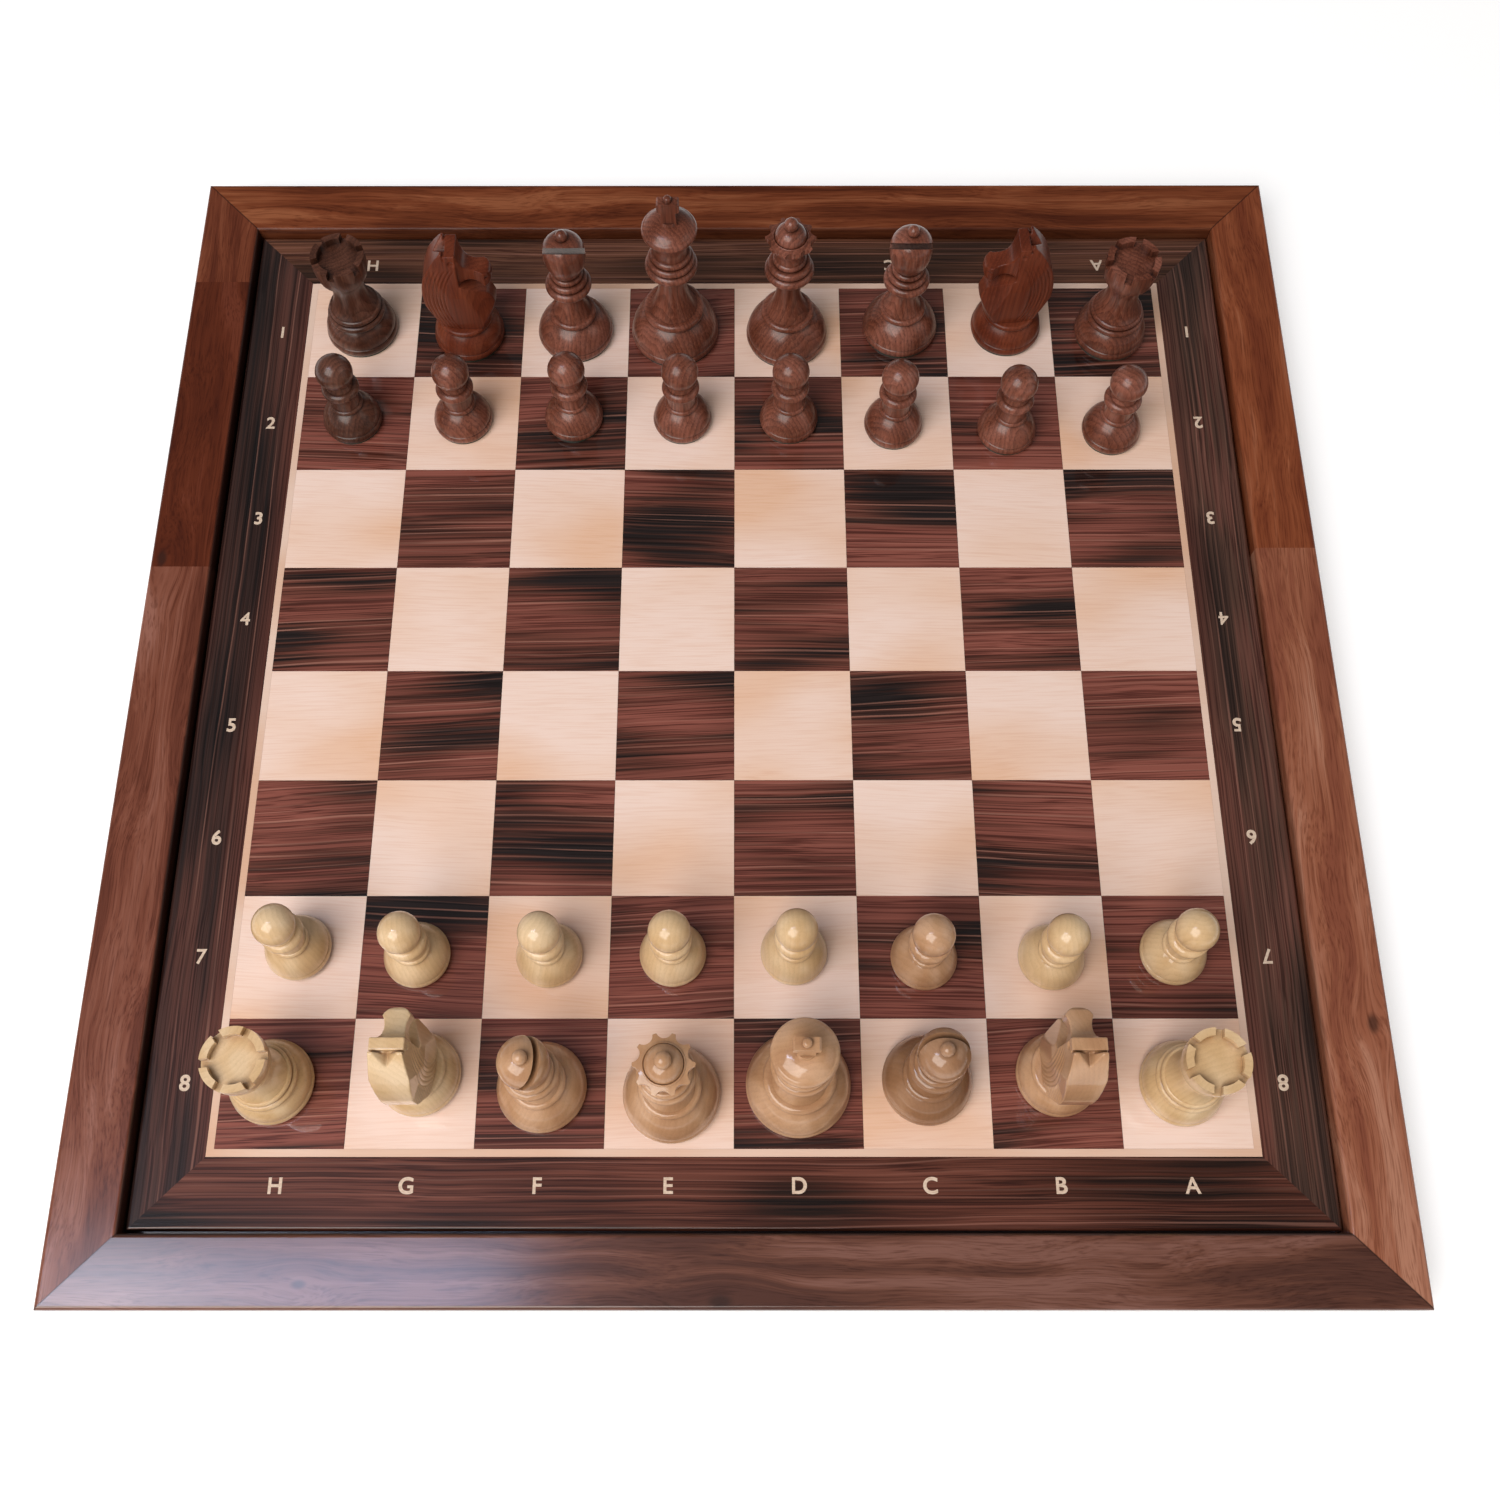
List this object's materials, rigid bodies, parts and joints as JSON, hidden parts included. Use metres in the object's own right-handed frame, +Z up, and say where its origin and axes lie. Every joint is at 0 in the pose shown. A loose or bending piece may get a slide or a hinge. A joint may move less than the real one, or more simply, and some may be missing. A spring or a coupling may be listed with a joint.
{
  "type": "chess set with board",
  "caption": "Wooden chess set: lacquered board with a raised mitred frame, and light and dark turned men standing ready.",
  "frame": {"origin": "under the middle of the board, on the surface that its feet stand on", "axes": "+X along the ranks towards the a-file, +Y along the files towards rank 1, +Z up"},
  "size_m": [0.516, 0.516, 0.1125],
  "materials": {
    "boxwood": "lacquered, satin gloss",
    "rosewood": "lacquered, satin gloss",
    "walnut_rails": "lacquered, gloss",
    "ebony_border": "lacquered, gloss",
    "dark_veneer": "lacquered, gloss",
    "maple_veneer": "lacquered, gloss",
    "core_board": "plain board",
    "foot_felt": "felt"
  },
  "bodies": {
    "board": {"backing_sheet": "core_board", "border_back": "ebony_border", "border_front": "ebony_border", "border_left": "ebony_border", "border_right": "ebony_border", "corner_keys": "walnut_rails", "dark_squares": "dark_veneer", "foot_pads": "foot_felt", "light_squares": "maple_veneer", "pale_line": "maple_veneer", "panel_core": "core_board", "rail_back": "walnut_rails", "rail_front": "walnut_rails", "rail_left": "walnut_rails", "rail_right": "walnut_rails"},
    "dark_bishop_c": {"dark_bishop_c": "rosewood"},
    "dark_bishop_f": {"dark_bishop_f": "rosewood"},
    "dark_king_e": {"dark_king_e": "rosewood", "dark_king_cross_e": "rosewood"},
    "dark_knight_b": {"dark_knight_b": "rosewood", "dark_knight_head_b": "rosewood"},
    "dark_knight_g": {"dark_knight_g": "rosewood", "dark_knight_head_g": "rosewood"},
    "dark_pawn_a": {"dark_pawn_a": "rosewood"},
    "dark_pawn_b": {"dark_pawn_b": "rosewood"},
    "dark_pawn_c": {"dark_pawn_c": "rosewood"},
    "dark_pawn_d": {"dark_pawn_d": "rosewood"},
    "dark_pawn_e": {"dark_pawn_e": "rosewood"},
    "dark_pawn_f": {"dark_pawn_f": "rosewood"},
    "dark_pawn_g": {"dark_pawn_g": "rosewood"},
    "dark_pawn_h": {"dark_pawn_h": "rosewood"},
    "dark_queen_d": {"dark_queen_d": "rosewood"},
    "dark_rook_a": {"dark_rook_a": "rosewood"},
    "dark_rook_h": {"dark_rook_h": "rosewood"},
    "light_bishop_c": {"light_bishop_c": "boxwood"},
    "light_bishop_f": {"light_bishop_f": "boxwood"},
    "light_king_d": {"light_king_d": "boxwood", "light_king_cross_d": "boxwood"},
    "light_knight_b": {"light_knight_b": "boxwood", "light_knight_head_b": "boxwood"},
    "light_knight_g": {"light_knight_g": "boxwood", "light_knight_head_g": "boxwood"},
    "light_pawn_a": {"light_pawn_a": "boxwood"},
    "light_pawn_b": {"light_pawn_b": "boxwood"},
    "light_pawn_c": {"light_pawn_c": "boxwood"},
    "light_pawn_d": {"light_pawn_d": "boxwood"},
    "light_pawn_e": {"light_pawn_e": "boxwood"},
    "light_pawn_f": {"light_pawn_f": "boxwood"},
    "light_pawn_g": {"light_pawn_g": "boxwood"},
    "light_pawn_h": {"light_pawn_h": "boxwood"},
    "light_queen_e": {"light_queen_e": "boxwood"},
    "light_rook_a": {"light_rook_a": "boxwood"},
    "light_rook_h": {"light_rook_h": "boxwood"}
  },
  "joints": [
    {"name": "lift_dark_bishop_c", "type": "slide", "parent": "board", "child": "dark_bishop_c", "axis": [0, 0, 1], "range_m": [0, 0.12]},
    {"name": "lift_dark_bishop_f", "type": "slide", "parent": "board", "child": "dark_bishop_f", "axis": [0, 0, 1], "range_m": [0, 0.12]},
    {"name": "lift_dark_king_e", "type": "slide", "parent": "board", "child": "dark_king_e", "axis": [0, 0, 1], "range_m": [0, 0.12]},
    {"name": "lift_dark_knight_b", "type": "slide", "parent": "board", "child": "dark_knight_b", "axis": [0, 0, 1], "range_m": [0, 0.12]},
    {"name": "lift_dark_knight_g", "type": "slide", "parent": "board", "child": "dark_knight_g", "axis": [0, 0, 1], "range_m": [0, 0.12]},
    {"name": "lift_dark_pawn_a", "type": "slide", "parent": "board", "child": "dark_pawn_a", "axis": [0, 0, 1], "range_m": [0, 0.12]},
    {"name": "lift_dark_pawn_b", "type": "slide", "parent": "board", "child": "dark_pawn_b", "axis": [0, 0, 1], "range_m": [0, 0.12]},
    {"name": "lift_dark_pawn_c", "type": "slide", "parent": "board", "child": "dark_pawn_c", "axis": [0, 0, 1], "range_m": [0, 0.12]},
    {"name": "lift_dark_pawn_d", "type": "slide", "parent": "board", "child": "dark_pawn_d", "axis": [0, 0, 1], "range_m": [0, 0.12]},
    {"name": "lift_dark_pawn_e", "type": "slide", "parent": "board", "child": "dark_pawn_e", "axis": [0, 0, 1], "range_m": [0, 0.12]},
    {"name": "lift_dark_pawn_f", "type": "slide", "parent": "board", "child": "dark_pawn_f", "axis": [0, 0, 1], "range_m": [0, 0.12]},
    {"name": "lift_dark_pawn_g", "type": "slide", "parent": "board", "child": "dark_pawn_g", "axis": [0, 0, 1], "range_m": [0, 0.12]},
    {"name": "lift_dark_pawn_h", "type": "slide", "parent": "board", "child": "dark_pawn_h", "axis": [0, 0, 1], "range_m": [0, 0.12]},
    {"name": "lift_dark_queen_d", "type": "slide", "parent": "board", "child": "dark_queen_d", "axis": [0, 0, 1], "range_m": [0, 0.12]},
    {"name": "lift_dark_rook_a", "type": "slide", "parent": "board", "child": "dark_rook_a", "axis": [0, 0, 1], "range_m": [0, 0.12]},
    {"name": "lift_dark_rook_h", "type": "slide", "parent": "board", "child": "dark_rook_h", "axis": [0, 0, 1], "range_m": [0, 0.12]},
    {"name": "lift_light_bishop_c", "type": "slide", "parent": "board", "child": "light_bishop_c", "axis": [0, 0, 1], "range_m": [0, 0.12]},
    {"name": "lift_light_bishop_f", "type": "slide", "parent": "board", "child": "light_bishop_f", "axis": [0, 0, 1], "range_m": [0, 0.12]},
    {"name": "lift_light_king_d", "type": "slide", "parent": "board", "child": "light_king_d", "axis": [0, 0, 1], "range_m": [0, 0.12]},
    {"name": "lift_light_knight_b", "type": "slide", "parent": "board", "child": "light_knight_b", "axis": [0, 0, 1], "range_m": [0, 0.12]},
    {"name": "lift_light_knight_g", "type": "slide", "parent": "board", "child": "light_knight_g", "axis": [0, 0, 1], "range_m": [0, 0.12]},
    {"name": "lift_light_pawn_a", "type": "slide", "parent": "board", "child": "light_pawn_a", "axis": [0, 0, 1], "range_m": [0, 0.12]},
    {"name": "lift_light_pawn_b", "type": "slide", "parent": "board", "child": "light_pawn_b", "axis": [0, 0, 1], "range_m": [0, 0.12]},
    {"name": "lift_light_pawn_c", "type": "slide", "parent": "board", "child": "light_pawn_c", "axis": [0, 0, 1], "range_m": [0, 0.12]},
    {"name": "lift_light_pawn_d", "type": "slide", "parent": "board", "child": "light_pawn_d", "axis": [0, 0, 1], "range_m": [0, 0.12]},
    {"name": "lift_light_pawn_e", "type": "slide", "parent": "board", "child": "light_pawn_e", "axis": [0, 0, 1], "range_m": [0, 0.12]},
    {"name": "lift_light_pawn_f", "type": "slide", "parent": "board", "child": "light_pawn_f", "axis": [0, 0, 1], "range_m": [0, 0.12]},
    {"name": "lift_light_pawn_g", "type": "slide", "parent": "board", "child": "light_pawn_g", "axis": [0, 0, 1], "range_m": [0, 0.12]},
    {"name": "lift_light_pawn_h", "type": "slide", "parent": "board", "child": "light_pawn_h", "axis": [0, 0, 1], "range_m": [0, 0.12]},
    {"name": "lift_light_queen_e", "type": "slide", "parent": "board", "child": "light_queen_e", "axis": [0, 0, 1], "range_m": [0, 0.12]},
    {"name": "lift_light_rook_a", "type": "slide", "parent": "board", "child": "light_rook_a", "axis": [0, 0, 1], "range_m": [0, 0.12]},
    {"name": "lift_light_rook_h", "type": "slide", "parent": "board", "child": "light_rook_h", "axis": [0, 0, 1], "range_m": [0, 0.12]}
  ]
}
